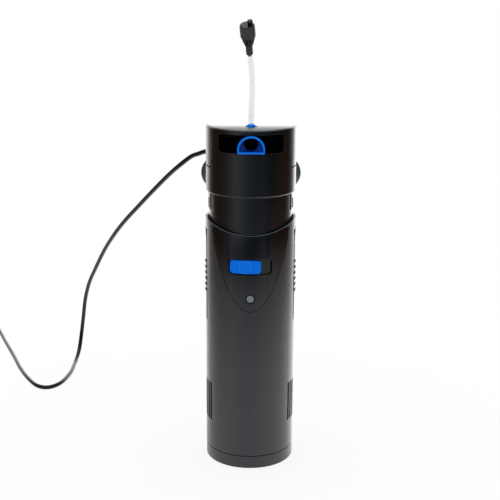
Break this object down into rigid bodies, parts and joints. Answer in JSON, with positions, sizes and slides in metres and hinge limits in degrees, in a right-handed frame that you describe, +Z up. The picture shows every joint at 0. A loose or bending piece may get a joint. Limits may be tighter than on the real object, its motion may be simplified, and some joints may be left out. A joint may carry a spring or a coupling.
{
  "type": "submersible canister filter",
  "caption": "Upright cylindrical submersible aquarium filter with a lift-out pump and lamp head, swivel outlet, side latches, slide switch, suction cups, air line and power cord.",
  "frame": {"origin": "centre of the canister's underside, on the surface it stands on", "axes": "+Z up along the canister's axis, -Y the front with the outlet and the switch panel, +X to the right seen from the front"},
  "size_m": [0.495, 0.505, 0.4518],
  "materials": {
    "base": "satin",
    "canister": "satin",
    "sponge": "open foam",
    "inner_plastic": "moulded",
    "panel": "high gloss",
    "lens": "frosted",
    "cord": "smooth sheath",
    "tie": "smooth",
    "plug": "moulded",
    "blades": "plated",
    "neck": "satin",
    "seal": "smooth",
    "head": "satin",
    "cap": "satin",
    "can": "drawn",
    "core": "laminated",
    "copper": "enamelled wire",
    "potting": "cast resin",
    "socket": "ceramic white",
    "lamp": "clear",
    "quartz": "clear",
    "board": "solder mask",
    "silicone": "translucent",
    "slider": "satin gloss",
    "magnet": "ferrite",
    "shaft": "ceramic",
    "nozzle": "satin gloss",
    "airline": "clear flexible tube",
    "valve": "moulded",
    "knob": "gloss"
  },
  "bodies": {
    "canister": {"base_cap": "base", "canister_shell": "canister", "sponge_cartridge": "sponge", "strainer_tube": "inner_plastic", "divider_grid": "inner_plastic", "switch_panel": "panel", "indicator_lens": "lens", "power_cord": "cord", "cord_coil": "cord", "cord_tie": "tie", "plug_body": "plug", "plug_blades": "blades"},
    "head": {"neck": "neck", "neck_seal": "seal", "head_shell": "head", "top_cap": "cap", "volute_housing": "inner_plastic", "rotor_can": "can", "stator_core": "core", "stator_coils": "copper", "motor_potting": "potting", "lamp_socket": "socket", "uv_lamp": "lamp", "quartz_sleeve": "quartz", "sleeve_seal": "seal", "sleeve_nut": "inner_plastic", "ballast_board": "board", "reed_switch": "socket", "nozzle_seal": "seal", "suction_bracket": "head", "suction_cup_left": "silicone", "suction_cup_right": "silicone", "cord_gland": "plug"},
    "slider": {"switch_slider": "slider", "slider_magnet": "magnet"},
    "left_latch": {"latch_left": "canister"},
    "right_latch": {"latch_right": "canister"},
    "rotor": {"impeller": "slider", "rotor_magnet": "magnet", "rotor_shaft": "shaft"},
    "nozzle": {"outlet_nozzle": "nozzle", "air_tube": "airline", "valve_body": "valve"},
    "knob": {"valve_knob": "knob"}
  },
  "joints": [
    {"name": "head_slide", "type": "slide", "parent": "canister", "child": "head", "axis": [0, 0, 1], "range_m": [-0.0255, 0.15]},
    {"name": "switch_slide", "type": "hinge", "parent": "canister", "child": "slider", "pos_m": [0, 0, 0.2143], "axis": [0, 0, 1], "range_deg": [0, 12.2]},
    {"name": "left_latch_rock", "type": "hinge", "parent": "canister", "child": "left_latch", "pos_m": [-0.0428, 0, 0.214], "axis": [0, -1, 0], "range_deg": [0, 2], "stiffness_Nm_per_rad": 0.6},
    {"name": "right_latch_rock", "type": "hinge", "parent": "canister", "child": "right_latch", "pos_m": [0.0428, 0, 0.214], "axis": [0, 1, 0], "range_deg": [0, 2], "stiffness_Nm_per_rad": 0.6},
    {"name": "nozzle_swivel", "type": "hinge", "parent": "head", "child": "nozzle", "pos_m": [0, -0.018, 0.33], "axis": [0, 0, 1], "range_deg": [-30, 30]},
    {"name": "valve_turn", "type": "hinge", "parent": "nozzle", "child": "knob", "pos_m": [-0.0019, -0.0245, 0.4187], "axis": [-0.0819, -0.4525, 0.888], "range_deg": [-180, 180]},
    {"name": "rotor_spin", "type": "hinge", "parent": "head", "child": "rotor", "pos_m": [0, 0.022, 0.3], "axis": [0, 0, 1], "continuous": true}
  ]
}
